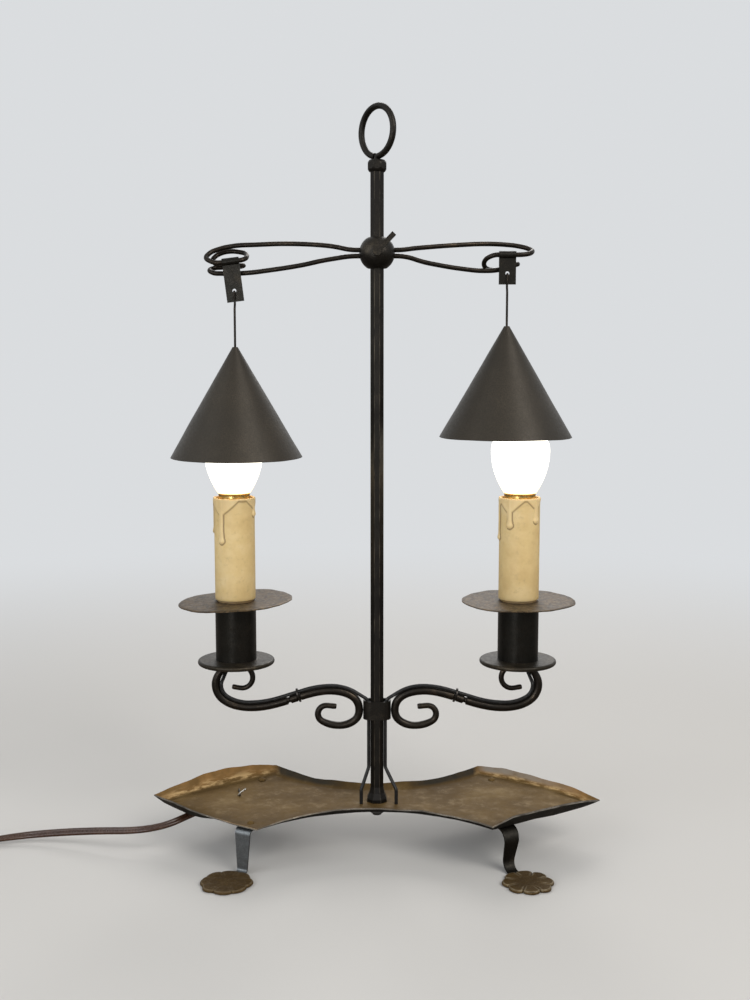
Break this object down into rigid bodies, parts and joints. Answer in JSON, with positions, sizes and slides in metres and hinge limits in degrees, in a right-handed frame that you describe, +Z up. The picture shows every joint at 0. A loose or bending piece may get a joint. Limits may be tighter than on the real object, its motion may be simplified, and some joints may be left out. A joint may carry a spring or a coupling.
{
  "type": "bouillotte lamp",
  "caption": "Forged iron bouillotte lamp: S-scroll candle arms on an octagonal stem with a carrying eye, hanging cone shades on a sliding carrier, and a footed tray.",
  "frame": {"origin": "on the table, under the axis of the stem", "axes": "+Z up along the stem, -Y to the front, +X to the right as seen from the front"},
  "size_m": [0.6279, 0.2876, 0.6231],
  "materials": {
    "forged_iron": "satin, hammer marks and brown worn edges",
    "tray_iron": "satin, brown patina with bare scuffs",
    "pan_iron": "matt, pitted brown",
    "shade_sheet": "satin dark bronze",
    "tie_steel": "dull, grey",
    "candle_ivory": "waxy, aged ivory",
    "socket_black": "moulded black",
    "bulb_brass": "plain",
    "bulb_white": "soft white, lit",
    "wire_black": "glossy insulation",
    "cord_brown": "semi-gloss twin flex",
    "tie_black": "plain"
  },
  "bodies": {
    "stand": {"stem": "forged_iron", "ring_collar": "forged_iron", "carry_ring": "forged_iron", "arm_collar": "forged_iron", "arm_left": "forged_iron", "arm_right": "forged_iron", "foot_front_left": "forged_iron", "foot_front_right": "forged_iron", "foot_back_left": "forged_iron", "foot_back_right": "forged_iron", "foot_rivets": "forged_iron", "cup_rivets": "forged_iron", "cup_plate_left": "forged_iron", "cup_plate_right": "forged_iron", "cup_left": "forged_iron", "cup_right": "forged_iron", "base_tray": "tray_iron", "drip_pan_left": "pan_iron", "drip_pan_right": "pan_iron", "arm_tie_left": "tie_steel", "arm_tie_right": "tie_steel", "cord_clip": "tie_steel", "stem_washer": "tie_steel", "stem_nut": "tie_steel", "socket_bracket_left": "tie_steel", "socket_bracket_right": "tie_steel", "candle_sleeve_left": "candle_ivory", "candle_sleeve_right": "candle_ivory", "socket_left": "socket_black", "socket_right": "socket_black", "bulb_base_left": "bulb_brass", "bulb_base_right": "bulb_brass", "plug_blades": "bulb_brass", "bulb_glass_left": "bulb_white", "bulb_glass_right": "bulb_white", "lamp_wire_left": "wire_black", "lamp_wire_right": "wire_black", "cord_splice": "wire_black", "cord": "cord_brown", "cord_coil": "cord_brown", "plug_body": "cord_brown", "coil_tie": "tie_black"},
    "carrier": {"carrier_ball": "forged_iron", "carrier_loop_left": "forged_iron", "carrier_loop_right": "forged_iron"},
    "thumbscrew": {"thumbscrew": "forged_iron"},
    "tab_left": {"hanger_tab_left": "forged_iron"},
    "hook_left": {"shade_wire_left": "forged_iron"},
    "shade_left": {"shade_left": "shade_sheet"},
    "tab_right": {"hanger_tab_right": "forged_iron"},
    "hook_right": {"shade_wire_right": "forged_iron"},
    "shade_right": {"shade_right": "shade_sheet"}
  },
  "joints": [
    {"name": "carrier_slide", "type": "slide", "parent": "stand", "child": "carrier", "axis": [0, 0, 1], "range_m": [-0.01, 0.048]},
    {"name": "thumbscrew_turn", "type": "hinge", "parent": "carrier", "child": "thumbscrew", "pos_m": [0, -0.0153, 0.5032], "axis": [0, -1, 0], "range_deg": [0, 360]},
    {"name": "tab_left_swing", "type": "hinge", "parent": "carrier", "child": "tab_left", "pos_m": [-0.1205, 0, 0.4964], "axis": [0.9925, 0, 0.1219], "range_deg": [-4, 4]},
    {"name": "hook_left_swing", "type": "hinge", "parent": "tab_left", "child": "hook_left", "pos_m": [-0.11757, 0, 0.47188], "axis": [0, 1, 0], "range_deg": [-4, 4]},
    {"name": "shade_left_spin", "type": "hinge", "parent": "hook_left", "child": "shade_left", "pos_m": [-0.11757, 0, 0.42658], "axis": [0, 0, 1], "continuous": true},
    {"name": "tab_right_swing", "type": "hinge", "parent": "carrier", "child": "tab_right", "pos_m": [0.1072, 0, 0.5018], "axis": [1, 0, 0], "range_deg": [-4, 4]},
    {"name": "hook_right_swing", "type": "hinge", "parent": "tab_right", "child": "hook_right", "pos_m": [0.1072, 0, 0.486], "axis": [0, 1, 0], "range_deg": [-4, 4]},
    {"name": "shade_right_spin", "type": "hinge", "parent": "hook_right", "child": "shade_right", "pos_m": [0.1072, 0, 0.4437], "axis": [0, 0, 1], "continuous": true}
  ]
}
